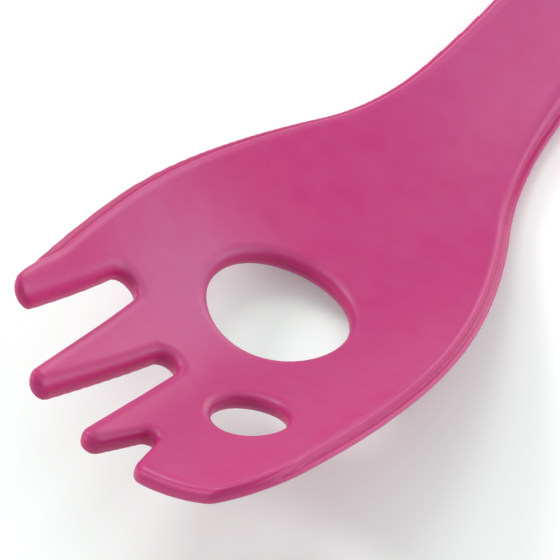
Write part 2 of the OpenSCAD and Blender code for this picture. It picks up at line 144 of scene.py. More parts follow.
# How much each of its parts adds: bloom patches, the painted highlight on the left, the painted
# sheen on the handle, painted light on the ledge, the painted highlight along the ridge, and the
# last one, bloom on the whole upper surface
WORN_BLOOM = 0.12
LEFT_PAINTED_HIGHLIGHT = 0.75
HANDLE_PAINTED_SHEEN = 0.55
LEDGE_PAINTED_LIGHT = 0.5
RIDGE_PAINTED_HIGHLIGHT = 0.3
LEAST_BLOOM = 0.03

# Worn patches: the streaks' share and stretch, and the noise between which they come up
STREAK_SHARE = 0.3
STREAK_STRETCH = 5
WORN_FROM = 0.42
WORN_TO = 0.66

# Middle value of any noise
NOISE_MIDDLE = 0.5

# Depths below the flange's line: the wall, which gets no bloom and stays a deeper pink as painted
# shade, the painted highlight along the upper edge, and the painted light on the flange's ledge,
# which begins behind the outer corner
WALL_TOP = -1.9 * MM
WALL_FOOT = -0.4 * MM
RIDGE_DEPTH = 0.35 * MM
RIDGE = FLANGE_T - HEAD_T + RIDGE_DEPTH
RIDGE_WIDTH = 0.45 * MM
LEDGE_TOP = 0.2 * MM
LEDGE_FULL = 0.7 * MM
LEDGE_FROM = -140 * MM
LEDGE_TO = -110 * MM

# Silicone: refraction, how far red, green and blue light spread in it, and what bloom
# and grain add to its roughness
SILICONE_IOR = 1.41
SOFT_RADIUS = (1.0, 0.25, 0.35)
BLOOM_ROUGHNESS = 0.1
GRAIN_ROUGHNESS = 0.05

# Nylon: refraction, roughness, what the flow marks add to it, and the noise they span
NYLON_IOR = 1.53
NYLON_ROUGHNESS = 0.42
FLOW_ROUGHNESS = 0.15
FLOW_FROM = 0.35
FLOW_TO = 0.65

# Table top: roughness, and how much its clouds lighten it
TABLE_ROUGHNESS = 0.9
CLOUD_STRENGTH = 0.02
WHITE = (1, 1, 1, 1)

# Place on the table that gets the tool's pink light, and the distances from it at which
# that light is strong and at which it has gone
PINK_PLACE = (0, -100 * MM, 0)
PINK_NEAR = 35 * MM
PINK_FAR = 90 * MM

# Lamps: degrees from the front and above the table, width and height in metres, and watts
LAMPS = {
    "key": (268, 36, 0.28, 0.28, 4.0),
    "ceiling": (247, 60, 0.7, 0.45, 2.7),
    "left_wall": (315, 12, 0.5, 0.45, 2.8),
    "back_wall": (180, 12, 0.5, 0.45, 2.65),
    "right_wall": (112, 12, 1.2, 0.45, 6.2),
}

# Camera: width of its sensor in mm, and the farthest that it sees
SENSOR_W = 36
CLIP_END = 50

# Steps of the outer edge's curves, in the mesh and in the search for the rest position
FINE_STEPS = 7
REST_STEPS = 2

# Places tried along the underside in that search, and how often it halves the tilt
REST_PLACES = 200
REST_HALVINGS = 20

# Shortest step of the outline, the decimals by which a vertex is found again, and how
# strongly one round of smoothing works
SHORTEST_STEP = 0.01 * MM
KEY_DIGITS = 7
SMOOTH_FACTOR = 0.5

# Sockets of the Mix node for colours, whose names are those for numbers as well
MIX_SHARE = 0
MIX_LOW = 6
MIX_HIGH = 7
MIX_COLOR = 2


def mix(a, b, share):
    """The value that lies at share of the way from a to b."""
    return a + (b - a) * share


def ease(share):
    """share from 0 to 1, with a soft start and a soft end."""
    held = min(1, max(0, share))
    return held * held * (3 - 2 * held)


def sagitta(radius, run):
    """How far an arc of that radius falls away over run."""
    return radius - math.sqrt(radius * radius - run * run)


def polar(angle):
    """The unit vector at that angle from +X."""
    return Vector((math.cos(angle), math.sin(angle)))


def heading(start, end):
    """Angle of the way from start to end."""
    return math.atan2(end.y - start.y, end.x - start.x)


# Joints between the arcs of the side, from the belly to the grip
SHOULDER_END_Y = BELLY_Y + SHOULDER_R * math.sin(SHOULDER_TURN)
SHOULDER_END_W = HEAD_HALF - SHOULDER_R * (1 - math.cos(SHOULDER_TURN))
NECK_MID_Y = SHOULDER_END_Y + NECK_R * math.sin(SHOULDER_TURN)
NECK_MID_W = SHOULDER_END_W - NECK_R * (1 - math.cos(SHOULDER_TURN))
NECK_END_Y = NECK_MID_Y - NECK_R * math.sin(NECK_IN)
NECK_END_W = NECK_MID_W + NECK_R * (1 - math.cos(NECK_IN))
WAIST_Y = NECK_END_Y + WAIST_R * math.sin(NECK_IN)
WAIST_W = NECK_END_W - WAIST_R * (1 - math.cos(NECK_IN))
FLARE_Y = WAIST_Y + WAIST_R * math.sin(GRIP_FLARE)
FLARE_W = WAIST_W + WAIST_R * (1 - math.cos(GRIP_FLARE))


def half_width(y):
    """Half the tool's width at y, from the tines' side to the grip."""
    if y < BELLY_Y:
        return HEAD_HALF - sagitta(FRONT_SIDE_R, y - BELLY_Y)
    if y < SHOULDER_END_Y:
        return HEAD_HALF - sagitta(SHOULDER_R, y - BELLY_Y)
    if y < NECK_END_Y:
        return NECK_MID_W + sagitta(NECK_R, NECK_MID_Y - y)
    if y < FLARE_Y:
        return WAIST_W + sagitta(WAIST_R, y - WAIST_Y)
    return FLARE_W + (y - FLARE_Y) * math.tan(GRIP_FLARE)


def side_angle(y):
    """Angle of the side at y, positive where the tool widens toward its end."""
    if y < BELLY_Y:
        return math.asin((BELLY_Y - y) / FRONT_SIDE_R)
    if y < SHOULDER_END_Y:
        return -math.asin((y - BELLY_Y) / SHOULDER_R)
    if y < NECK_END_Y:
        return -math.asin((NECK_MID_Y - y) / NECK_R)
    if y < FLARE_Y:
        return math.asin((y - WAIST_Y) / WAIST_R)
    return GRIP_FLARE


END_R = half_width(HANDLE_REACH) * math.cos(GRIP_FLARE)
END_Y = HANDLE_REACH + END_R

# Profile of the upper surface, seen from the side
HANDLE_Y = BOWL_ARC_R * math.sin(HANDLE_RISE)
ARCH_Y = HANDLE_Y + HANDLE_ARC_R * math.sin(HANDLE_RISE)
ARCH_DROP = HANDLE_ARC_R * math.cos(HANDLE_RISE) - sagitta(BOWL_ARC_R, HANDLE_Y)
HANG_SLOPE = math.asin((ARCH_Y - HANDLE_REACH) / HANDLE_ARC_R)


def spine(y):
    """Height of the upper surface on the tool's middle line."""
    if y < STRAIGHT_Y:
        turn = math.asin(-STRAIGHT_Y / BOWL_ARC_R)
        return sagitta(BOWL_ARC_R, STRAIGHT_Y) + (STRAIGHT_Y - y) * math.tan(turn)
    if y < HANDLE_Y:
        return sagitta(BOWL_ARC_R, y)
    return math.sqrt(HANDLE_ARC_R ** 2 - (y - ARCH_Y) ** 2) - ARCH_DROP


def thickness(y):
    """Thickness of the tool at y."""
    grip = ease((y - THICK_START) / (GRIP_START - THICK_START))
    end = ease((y - GRIP_START) / (END_Y - GRIP_START))
    return HEAD_T + (GRIP_T - HEAD_T) * grip - (GRIP_T - END_T) * end


def top_z(x, y):
    """Height of the upper surface, with the bowl's cupping."""
    fade = 1 - ease((y - NECK_START) / (GRIP_START - NECK_START))
    return spine(y) + CUP_DEPTH * (x / HEAD_HALF) ** 2 * math.exp(-y / CUP_LENGTH) * fade


class Rim:
    """A place on an outline, the direction into the material and the flange's share there."""

    def __init__(self, place, inward, flange=0.0):
        self.place = place
        self.inward = inward
        self.flange = flange

    def at(self, inset):
        """The place that lies inset inside the outline."""
        return self.place + self.inward * inset

    def profile(self, count):
        """Pairs of inset and depth down the edge, with count steps in each curve."""
        deep = thickness(self.place.y)
        width = FLANGE_W * self.flange
        round_r = mix(TINE_EDGE_R, UPPER_R, self.flange) * deep / HEAD_T
        foot = deep - FLANGE_T
        out = width * (1 - HOLLOW_SHARE)
        nose = FLANGE_T - LOWER_R - HOLLOW_H
        turns = [math.pi / 2 * k / count for k in range(count + 1)]
        upper = [
            (width + round_r * (1 - math.sin(a)), round_r * (1 - math.cos(a))) for a in turns]
        wall = [(width, max(foot - HOLLOW_H, round_r + HOLLOW_H)), (out, foot + HOLLOW_H)]
        front = [
            (out * (1 - math.sin(a)), foot + HOLLOW_H + nose * (1 - math.cos(a)))
            for a in turns[1:]]
        lower = [
            (LOWER_R * (1 - math.cos(a)), deep - LOWER_R * (1 - math.sin(a))) for a in turns[1:]]
        return upper + wall + front + lower + [(width + round_r, deep)]


def flange_share(y, side):
    """How far the flange has grown at y behind the scraping edge (1) or the first tine (-1)."""
    start = CORNER_END[0].y if side > 0 else -TINE_1_REACH
    return ease((y - start) / FLANGE_RUN)


def side_rim(y, side):
    """Rim of the right side (1) or the left side (-1) at y."""
    angle = side_angle(y)
    inward = Vector((-side * math.cos(angle), math.sin(angle)))
    return Rim(Vector((side * half_width(y), y)), inward, flange_share(y, side))


def lowest(points, tilt):
    """Height of the lowest of these (y, z) points after the tool is tilted."""
    return min(z * math.cos(tilt) - y * math.sin(tilt) for y, z in points)


def rest_position():
    """Tilt and lift at which the neck's underside and the handle's end touch the table."""
    places = [GRIP_START * k / REST_PLACES for k in range(REST_PLACES + 1)]
    underside = [(y, spine(y) - thickness(y)) for y in places]
    end = Rim(Vector((0, END_Y)), Vector((0, -1)), 1.0)
    tip = [
        (END_Y - inset, spine(END_Y - inset) - depth) for inset, depth in end.profile(REST_STEPS)]
    low, high = 0.0, HANDLE_RISE
    for _ in range(REST_HALVINGS):
        tilt = (low + high) / 2
        if lowest(underside, tilt) > lowest(tip, tilt):
            high = tilt
        else:
            low = tilt
    return tilt, -lowest(underside, tilt)


REST_TILT, REST_LIFT = rest_position()


def to_table(middle=0.0):
    """Matrix from the drawing to the table, with the tool's middle at middle."""
    return Matrix.Translation((0, -middle, REST_LIFT)) @ Matrix.Rotation(-REST_TILT, 4, "X")


def steps(start, end, length, finest):
    """Even values from start to end, at most finest apart where a unit is length long."""
    count = max(2, math.ceil(abs(length * (end - start)) / finest))
    return [mix(start, end, k / count) for k in range(count + 1)]


def sides(start, end, side, finest):
    """Rims along one side from start to end."""
    return [side_rim(y, side) for y in steps(start, end, 1, finest)]


def corner(circle, start, end, finest, flange=lambda y: 0.0):
    """Rims round an outer corner or tip, with the flange's share as a function of y."""
    middle, radius = circle
    places = [middle + radius * polar(a) for a in steps(start, end, radius, finest)]
    return [Rim(place, (middle - place).normalized(), flange(place.y)) for place in places]


def hollow(circle, start, end, finest):
    """Rims round the end of a notch."""
    middle, radius = circle
    return [Rim(middle + radius * polar(a), polar(a)) for a in steps(start, end, radius, finest)]


def wall_angles(tip, notch):
    """Directions in which a tip's right and left walls face that touch a notch."""
    way = notch[0] - tip[0]
    spread = math.acos((tip[1] + notch[1]) / way.length)
    aim = heading(tip[0], notch[0])
    return aim - spread, aim + spread


def scrape_facing():
    """Direction in which the straight scraping edge faces."""
    way = CORNER_END[0] - CORNER_IN[0]
    lean = math.acos((CORNER_IN[1] - CORNER_END[1]) / way.length)
    return heading(CORNER_IN[0], CORNER_END[0]) - lean


def cheek():
    """Circle of the cheek, which touches the outer corner and the right side."""
    way = CORNER_END[0] - FRONT_SIDE_MID
    gap = way.length
    reach = FRONT_SIDE_R - CHEEK_R
    along = (reach ** 2 - (CHEEK_R - CORNER_END[1]) ** 2 + gap ** 2) / (2 * gap)
    across = math.sqrt(reach ** 2 - along ** 2)
    aim = heading(FRONT_SIDE_MID, CORNER_END[0])
    middle = FRONT_SIDE_MID + along * polar(aim) + across * polar(aim + math.pi / 2)
    return middle, CHEEK_R


def outline(finest):
    """Rims of the whole tool, counted anticlockwise from the first tine's tip."""
    tine_1 = (side_rim(-TINE_1_REACH, -1).at(TINE_1_R), TINE_1_R)
    tips = (tine_1, TINE_2, TINE_3, CORNER_IN)
    start = math.pi + side_angle(-TINE_1_REACH)
    rims = []
    for tip, notch, following in zip(tips, NOTCHES, tips[1:]):
        right = wall_angles(tip, notch)[0]
        left = wall_angles(following, notch)[1]
        rims += corner(tip, start, 2 * math.pi + right, finest)
        rims += hollow(notch, right + math.pi, left - math.pi, finest)
        start = left
    scrape = scrape_facing()
    cheek_circle = cheek()
    cheek_from = heading(cheek_circle[0], CORNER_END[0])
    cheek_to = heading(FRONT_SIDE_MID, cheek_circle[0])
    side_from = FRONT_SIDE_MID.y + FRONT_SIDE_R * math.sin(cheek_to)
    side_to = HANDLE_REACH - END_R * math.sin(GRIP_FLARE)
    rims += corner(CORNER_IN, start, 2 * math.pi + scrape, finest)
    rims += corner(CORNER_END, scrape, cheek_from, finest)
    rims += corner(cheek_circle, cheek_from, cheek_to, finest, lambda y: flange_share(y, 1))
    rims += sides(side_from, side_to, 1, finest)
    end_circle = (Vector((0, HANDLE_REACH)), END_R)
    rims += corner(end_circle, -GRIP_FLARE, math.pi + GRIP_FLARE, finest, lambda y: 1.0)
    rims += sides(side_to, -TINE_1_REACH, -1, finest)
    return without_repeats(rims)


def without_repeats(rims):
    """The rims with one kept wherever two stretches meet."""
    return [
        rim for k, rim in enumerate(rims)
        if (rim.place - rims[k - 1].place).length > SHORTEST_STEP]


def select_only(piece):
    """Makes piece the one selected and active object."""
    bpy.ops.object.select_all(action="DESELECT")
    piece.select_set(True)
    bpy.context.view_layer.objects.active = piece


def apply_modifier(piece, kind, **settings):
    """Adds a modifier with these settings and applies it."""
    select_only(piece)
    modifier = piece.modifiers.new(kind.title(), kind)
    for name, value in settings.items():
        setattr(modifier, name, value)
    bpy.ops.object.modifier_apply(modifier=modifier.name)


def ring_solid(name, rings):
    """A closed solid, extruded from the first ring of points to the last."""
    bpy.ops.object.select_all(action="DESELECT")
    bpy.ops.mesh.primitive_circle_add(vertices=len(rings[0]), fill_type="NGON")
    piece = bpy.context.object
    piece.name = name
    for vertex, place in zip(piece.data.vertices, rings[0]):
        vertex.co = place
    for before, after in zip(rings, rings[1:]):
        follows = {
            Vector(place).to_tuple(KEY_DIGITS): target for place, target in zip(before, after)}
        bpy.ops.object.mode_set(mode="EDIT")
        bpy.ops.mesh.extrude_region_move()
        bpy.ops.object.mode_set(mode="OBJECT")
        for vertex in piece.data.vertices:
            if vertex.select:
                vertex.co = follows[vertex.co.to_tuple(KEY_DIGITS)]
    bpy.ops.object.mode_set(mode="EDIT")
    bpy.ops.mesh.select_all(action="SELECT")
    bpy.ops.mesh.normals_make_consistent(inside=False)
    bpy.ops.object.mode_set(mode="OBJECT")
    return piece


def edged_blank(rims):
    """The tool drawn flat: a slab as thick as the head, with the profile of its outer edge."""
    profiles = [rim.profile(FINE_STEPS) for rim in rims]
    rings = []
    for level in range(len(profiles[0])):
        ring = []
        for rim, profile in zip(rims, profiles):
            inset, depth = profile[level]
            point = rim.at(inset)
            ring.append((point.x, point.y, -depth * HEAD_T / thickness(rim.place.y)))
        rings.append(ring)
    return ring_solid("spork_skin", rings)


def hole_cutter(circle, lip, lean, finest):
    """A spool that cuts a round hole with rounded lips through the flat slab."""
    middle, radius = circle
    count = math.ceil(2 * math.pi * radius / finest)
    stretch = thickness(middle.y) / HEAD_T
    quarter = [math.pi / 2 * k / FINE_STEPS for k in range(FINE_STEPS + 1)]
    levels = [(lip * (1 - math.sin(a)), -lip / stretch * (1 - math.cos(a))) for a in quarter]
    levels += [(flare, -HEAD_T - z) for flare, z in reversed(levels)]
    levels = [(lip, HEAD_T)] + levels + [(lip, -2 * HEAD_T)]
    turns = [2 * math.pi * k / count for k in range(count)]
    rings = []
    for flare, z in levels:
        shift = Vector((0, -z * stretch * math.tan(lean)))
        ring = [middle + shift + (radius + flare) * polar(turn) for turn in turns]
        rings.append([(point.x, point.y, z) for point in ring])
    return ring_solid("cutter", rings)


def pierce(piece, cutter):
    """Cuts the cutter out of the piece and takes the cutter away."""
    apply_modifier(piece, "BOOLEAN", operation="DIFFERENCE", solver="EXACT", object=cutter)
    bpy.data.objects.remove(cutter)


def note_depths(piece):
    """Writes how far each vertex lies below the line on which the flange begins."""
    below = piece.data.attributes.new(BELOW_FOOT, "FLOAT", "POINT")
    for vertex in piece.data.vertices:
        deep = thickness(vertex.co.y)
        below.data[vertex.index].value = FLANGE_T - deep - vertex.co.z * deep / HEAD_T


def dish(piece):
    """Gives the flat slab its bowl, its arched handle and its thick grip."""
    for vertex in piece.data.vertices:
        x, y, z = vertex.co
        vertex.co.z = top_z(x, y) + z * thickness(y) / HEAD_T


def lay_down(piece):
    """Lays the dished tool on the table, its length centred as the CAD part's is."""
    piece.data.transform(to_table())
    low = min(vertex.co.y for vertex in piece.data.vertices)
    high = max(vertex.co.y for vertex in piece.data.vertices)
    middle = (low + high) / 2
    piece.data.transform(Matrix.Translation((0, -middle, 0)))
    return middle


class Wire:
    """A shader socket that numbers and other sockets can be combined with."""

    def __init__(self, nodes, socket):
        self.nodes = nodes
        self.socket = socket

    def math(self, operation, *values):
        """A Math node on these values."""
        inputs = dict(enumerate(values))
        return self.nodes.node("ShaderNodeMath", {"operation": operation}, inputs)

    def __add__(self, other):
        return self.math("ADD", self, other)

    def __radd__(self, other):
        return self.math("ADD", other, self)

    def __sub__(self, other):
        return self.math("SUBTRACT", self, other)

    def __rsub__(self, other):
        return self.math("SUBTRACT", other, self)

    def __mul__(self, other):
        return self.math("MULTIPLY", self, other)

    def __rmul__(self, other):
        return self.math("MULTIPLY", other, self)

    def __truediv__(self, other):
        return self.math("DIVIDE", self, other)

    def __rtruediv__(self, other):
        return self.math("DIVIDE", other, self)

    def __abs__(self):
        return self.math("ABSOLUTE", self)

    def above_zero(self):
        """The value, or zero where it is negative."""
        return self.math("MAXIMUM", self, 0)


class Nodes:
    """A node tree under construction."""

    def __init__(self, tree):
        self.tree = tree

    def node(self, kind, settings=None, inputs=None, output=0):
        """Adds a node, sets it up, links or fills its sockets and returns one output."""
        node = self.tree.nodes.new(kind)
        for name, value in (settings or {}).items():
            setattr(node, name, value)
        for name, value in (inputs or {}).items():
            self.feed(node.inputs[name], value)
        return Wire(self, node.outputs[output])

    def feed(self, socket, value):
        """Links a wire to the socket, or sets the socket's own value."""
        if isinstance(value, Wire):
            self.tree.links.new(value.socket, socket)
        else:
            socket.default_value = value

    def fill(self, name, **values):
        """Feeds sockets of the node of that name, theirs given with underscores."""
        node = self.tree.nodes[name]
        for socket, value in values.items():
            self.feed(node.inputs[socket.replace("_", " ")], value)

    def shader(self):
        """The output of the material's own shader."""
        return Wire(self, self.tree.nodes["Principled BSDF"].outputs[0])

    def place(self):
        """The place on the object, in metres."""
        return self.node("ShaderNodeTexCoord", output="Object")

    def axis(self, place, name):
        """One coordinate of a place."""
        return self.node("ShaderNodeSeparateXYZ", {}, {"Vector": place}, name)

    def away(self, place, middle):
        """How far a place is from middle."""
        return self.node(
            "ShaderNodeVectorMath", {"operation": "DISTANCE"}, {0: place, 1: middle}, "Value")

    def seen(self):
        """1 for what the camera sees, straight or in a gloss, and else 0."""
        camera = self.node("ShaderNodeLightPath", output="Is Camera Ray")
        gloss = self.node("ShaderNodeLightPath", output="Is Glossy Ray")
        return camera.math("MAXIMUM", camera, gloss)

    def bump(self, height):
        """The surface's direction after it is raised by height, in metres."""
        return self.node("ShaderNodeBump", {}, {"Height": height, "Distance": 1.0}, "Normal")

    def noise(self, place, size, detail, roughness=0.5):
        """Noise from 0 to 1 whose patches are about size across."""
        return self.node("ShaderNodeTexNoise", {}, {
            "Vector": place, "Scale": 1 / size, "Detail": detail, "Roughness": roughness})

    def blend(self, share, low, high):
        """The colour that goes from low to high with share."""
        inputs = {MIX_SHARE: share, MIX_LOW: low, MIX_HIGH: high}
        return self.node("ShaderNodeMix", {"data_type": "RGBA"}, inputs, MIX_COLOR)

    def band(self, value, low, high):
        """value eased from 0 at low to 1 at high."""
        return self.node("ShaderNodeMapRange", {"interpolation_type": "SMOOTHSTEP"}, {
            "Value": value, "From Min": low, "From Max": high})


def new_material(name):
    """A new material and its nodes."""
    material = bpy.data.materials.new(name)
    material.use_nodes = True
    return material, Nodes(material.node_tree)


def bloom_and_painted_light(nodes, place, below, patches, look):
    """Strength of the bloom and painted light: bloom patches, a painted highlight on the left side,
    a painted sheen on the handle, a painted highlight along the ridge and painted light on the
    ledge.
    """
    streaks_place = nodes.node("ShaderNodeMapping", inputs={
        "Vector": place, "Rotation": (0, 0, look.streak_turn), "Scale": (1, STREAK_STRETCH, 1)})
    streaks = nodes.noise(streaks_place, look.bloom_size / 2, detail=3)
    mottle = nodes.noise(place, look.mottle_size, detail=3)
    along = nodes.axis(place, "Y")
    worn = nodes.band((1 - STREAK_SHARE) * patches + STREAK_SHARE * streaks, WORN_FROM, WORN_TO)
    # Painted highlight: a pale patch beside the bowl on the left, fading with distance from its
    # place
    left = 1 - nodes.band(nodes.away(place, LEFT_HIGHLIGHT_PLACE), LEFT_HIGHLIGHT_NEAR, LEFT_HIGHLIGHT_FAR)
    # Painted sheen: a pale haze that grows toward the handle
    handle = nodes.band(along, HANDLE_SHEEN_FROM, HANDLE_SHEEN_TO)
    # The wall gets no bloom and no painted light, so it stays a deeper pink as painted shade
    wall = nodes.band(below, WALL_TOP, WALL_FOOT)
    # Painted highlight: a pale line along the upper rounded edge
    ridge = (1 - abs(below - RIDGE) / RIDGE_WIDTH).above_zero()
    # Painted light: a pale band on the flange's ledge, from behind the outer corner toward the
    # handle
    ledge = nodes.band(below, LEDGE_TOP, LEDGE_FULL) * nodes.band(along, LEDGE_FROM, LEDGE_TO)
    # Bloom from patches and mottling, with the painted highlight on the left and the painted sheen
    # on the handle
    bloom = worn * WORN_BLOOM + left * LEFT_PAINTED_HIGHLIGHT + handle * HANDLE_PAINTED_SHEEN
    bloom = bloom + look.mottle_amount * (mottle - NOISE_MIDDLE) + LEAST_BLOOM
    # Bloom and painted highlight stop at the walls, which paints them darker as shade; ledge light
    # and ridge highlight are painted on top
    return look.bloom_and_light_amount * (bloom * (1 - wall) + ledge * LEDGE_PAINTED_LIGHT + ridge * RIDGE_PAINTED_HIGHLIGHT)


def silicone(look):
    """Matte pink silicone: pale bloom with painted highlights and sheen, fine grain, and painted
    shade, a deeper pink, in the flange's groove.
    """
    material, nodes = new_material("silicone_matte")
    place = nodes.place()
    below = nodes.node("ShaderNodeAttribute", {"attribute_name": BELOW_FOOT}, output="Fac")
    patches = nodes.noise(place, look.bloom_size, detail=4, roughness=0.6)
    grain = nodes.noise(place, look.grain_size, detail=2)
    bloom = bloom_and_painted_light(nodes, place, below, patches, look)
    seam = (1 - abs(below) / look.seam_width).above_zero()
    # Bloom colour over the main colour; it also carries the painted highlights, sheen and ledge
    # light
    tint = nodes.blend(bloom, look.color[:], look.bloom_and_highlight_color[:])
    # Painted shade: a deeper pink laid into the groove at the flange's foot
    tint = nodes.blend(seam * look.seam_shade_amount, tint, look.seam_shade_color[:])
    rough = look.roughness + BLOOM_ROUGHNESS * bloom + GRAIN_ROUGHNESS * (grain - NOISE_MIDDLE)
    height = grain * look.grain_depth - seam * look.seam_depth + patches * look.wave_depth
    nodes.fill("Principled BSDF", Base_Color=tint, Roughness=rough, Normal=nodes.bump(height))
    nodes.fill("Principled BSDF", IOR=SILICONE_IOR, Subsurface_Radius=SOFT_RADIUS)
    nodes.fill("Principled BSDF", Subsurface_Weight=look.softness, Subsurface_Scale=look.soft_depth)
    return material


def nylon(look):
    """Dark moulded nylon with a fine grain and faint flow marks."""
    material, nodes = new_material("nylon_moulded")
    place = nodes.place()
    flow = nodes.noise(place, look.flow_size, detail=3)
    grain = nodes.noise(place, look.grain_size, detail=2)
    tint = nodes.blend(nodes.band(flow, FLOW_FROM, FLOW_TO), look.dark[:], look.light[:])
    rough = NYLON_ROUGHNESS + FLOW_ROUGHNESS * flow
    bump = nodes.bump(grain * look.grain_depth)
    nodes.fill("Principled BSDF", Base_Color=tint, Roughness=rough, Normal=bump, IOR=NYLON_IOR)
    return material


class SporkSkinLook(bpy.types.PropertyGroup):
    """Mesh and finish of the silicone skin."""

    mesh_size: FloatProperty(
        name="Mesh size", description="Length of the skin's facets",
        default=0.515 * MM, unit="LENGTH")
    draw_size: FloatProperty(
        name="Outline step", description="Longest straight step of the outline",
        default=0.7 * MM, unit="LENGTH")
    smoothing: IntProperty(
        name="Smoothing", description="Rounds of smoothing after the skin is meshed evenly",
        default=3, min=0)
    color: FloatVectorProperty(
        name="Colour", description="Main colour of the silicone",
        subtype="COLOR", size=4, default=(0.52, 0.027, 0.174, 1))
    # Colour of the bloom and of the painted highlights, sheen and ledge light
    bloom_and_highlight_color: FloatVectorProperty(
        name="Bloom colour", description="Colour of the faint greyish bloom",
        subtype="COLOR", size=4, default=(0.53, 0.102, 0.270, 1))
    # Painted shade: the deeper pink laid into the groove at the flange's foot, along the parting
    # line
    seam_shade_color: FloatVectorProperty(
        name="Parting line colour", description="Colour in the parting line",
        subtype="COLOR", size=4, default=(0.44, 0.008, 0.11, 1))
    # Strength of the bloom together with the painted highlights, sheen and ledge light
    bloom_and_light_amount: FloatProperty(
        name="Bloom", description="Strength of the bloom",
        default=1.0, subtype="FACTOR", min=0, max=1)
    bloom_size: FloatProperty(
        name="Bloom size", description="Size of the bloom's patches",
        default=30 * MM, unit="LENGTH")
    mottle_size: FloatProperty(
        name="Mottle size", description="Size of the fine mottling",
        default=5 * MM, unit="LENGTH")
    mottle_amount: FloatProperty(
        name="Mottle", description="Strength of the fine mottling",
        default=0.45, subtype="FACTOR", min=0, max=1)
    streak_turn: FloatProperty(
        name="Streak angle", description="Angle of the wiping streaks in the bloom",
        default=math.radians(35), subtype="ANGLE")
    grain_size: FloatProperty(
        name="Grain size", description="Size of the surface grain",
        default=0.45 * MM, unit="LENGTH")
    grain_depth: FloatProperty(
        name="Grain depth", description="Depth of the surface grain",
        default=0.006 * MM, unit="LENGTH")
    wave_depth: FloatProperty(
        name="Wave depth", description="Depth of the broad unevenness",
        default=0.05 * MM, unit="LENGTH")
    # Strength of the painted shade in the flange's groove
    seam_shade_amount: FloatProperty(
        name="Parting line", description="Strength of the parting line's colour",
        default=0.5, subtype="FACTOR", min=0, max=1)
    seam_width: FloatProperty(
        name="Parting line width", description="Half width of the parting line",
        default=0.6 * MM, unit="LENGTH")
    seam_depth: FloatProperty(
        name="Parting line depth", description="Depth of the parting line",
        default=0.01 * MM, unit="LENGTH")
    roughness: FloatProperty(
        name="Roughness", description="Roughness of the silicone",
        default=0.37, subtype="FACTOR", min=0, max=1)
    softness: FloatProperty(
        name="Softness", description="How much light passes through the skin",
        default=0.12, subtype="FACTOR", min=0, max=1)
    soft_depth: FloatProperty(
        name="Light depth", description="How far light goes into the skin",
        default=2 * MM, unit="LENGTH")


class SporkCoreLook(bpy.types.PropertyGroup):
    """Finish of the nylon core."""

    dark: FloatVectorProperty(
        name="Dark tone", description="Darker tone of the nylon",
        subtype="COLOR", size=4, default=(0.055, 0.055, 0.062, 1))
    light: FloatVectorProperty(
        name="Light tone", description="Lighter tone of the nylon",
        subtype="COLOR", size=4, default=(0.085, 0.085, 0.092, 1))
    flow_size: FloatProperty(
        name="Flow size", description="Size of the flow marks",
        default=9 * MM, unit="LENGTH")
    grain_size: FloatProperty(
        name="Grain size", description="Size of the moulded grain",
        default=0.5 * MM, unit="LENGTH")
    grain_depth: FloatProperty(
        name="Grain depth", description="Depth of the moulded grain",
        default=0.01 * MM, unit="LENGTH")


class SporkStageLook(bpy.types.PropertyGroup):
    """Table, light and camera."""

    floor_size: FloatProperty(
        name="Table size", description="Side of the table top",
        default=8.0, unit="LENGTH")
    floor_color: FloatVectorProperty(
        name="Table colour", description="Colour of the table top",
        subtype="COLOR", size=4, default=(0.70, 0.70, 0.70, 1))
    cloud_size: FloatProperty(
        name="Cloud size", description="Size of the faint clouds in the table's tone",
        default=0.4, unit="LENGTH")
    seen_color: FloatVectorProperty(
        name="Seen colour",
        description="Colour of the table top for the camera, which evens out the pink light",
        subtype="COLOR", size=4, default=(0.885, 1.0, 0.95, 1))
    floor_glow: FloatProperty(
        name="Table glow", description="White that only the camera sees on the table",
        default=0.1, min=0, max=1)
    far_glow: FloatProperty(
        name="Far glow", description="The same white where the lamps no longer reach",
        default=0.6, min=0, max=1)
    fade_start: FloatProperty(
        name="Fade start", description="Distance at which the table begins to fade to white",
        default=0.25, unit="LENGTH")
    fade_end: FloatProperty(
        name="Fade end", description="Distance at which the table has faded to white",
        default=1.2, unit="LENGTH")
    sky: FloatProperty(
        name="Room light", description="Strength of the even light from the room",
        default=0.5, min=0)
    light: FloatProperty(
        name="Lamps", description="Factor on the power of all lamps",
        default=1.0, min=0)
    lamp_distance: FloatProperty(
        name="Lamp distance", description="Distance from the lamps to the tool",
        default=1.1, unit="LENGTH")
    light_aim: FloatVectorProperty(
        name="Light aim", description="Where the lights point",
        size=3, unit="LENGTH", default=(0, -0.08, 0))
    azimuth: FloatProperty(
        name="Camera azimuth", description="Camera's angle round the bowl, from the front",
        subtype="ANGLE", default=math.radians(21.163))
    elevation: FloatProperty(
        name="Camera elevation", description="Camera's angle above the bowl's floor",
        subtype="ANGLE", default=math.radians(42.468))
    roll: FloatProperty(
        name="Camera roll", description="Camera's turn about its line of sight",
        subtype="ANGLE", default=math.radians(17.627))
    distance: FloatProperty(
        name="Camera distance", description="Distance from the camera to the bowl",
        default=872.62 * MM, unit="LENGTH")
    lens: FloatProperty(
        name="Lens", description="Focal length for a 36 mm wide sensor, in mm",
        default=295.79)
    aim: FloatVectorProperty(
        name="Aim", description="Point in the drawing at the picture's centre",
        size=3, unit="LENGTH", default=(-4.832 * MM, 1.287 * MM, 0))


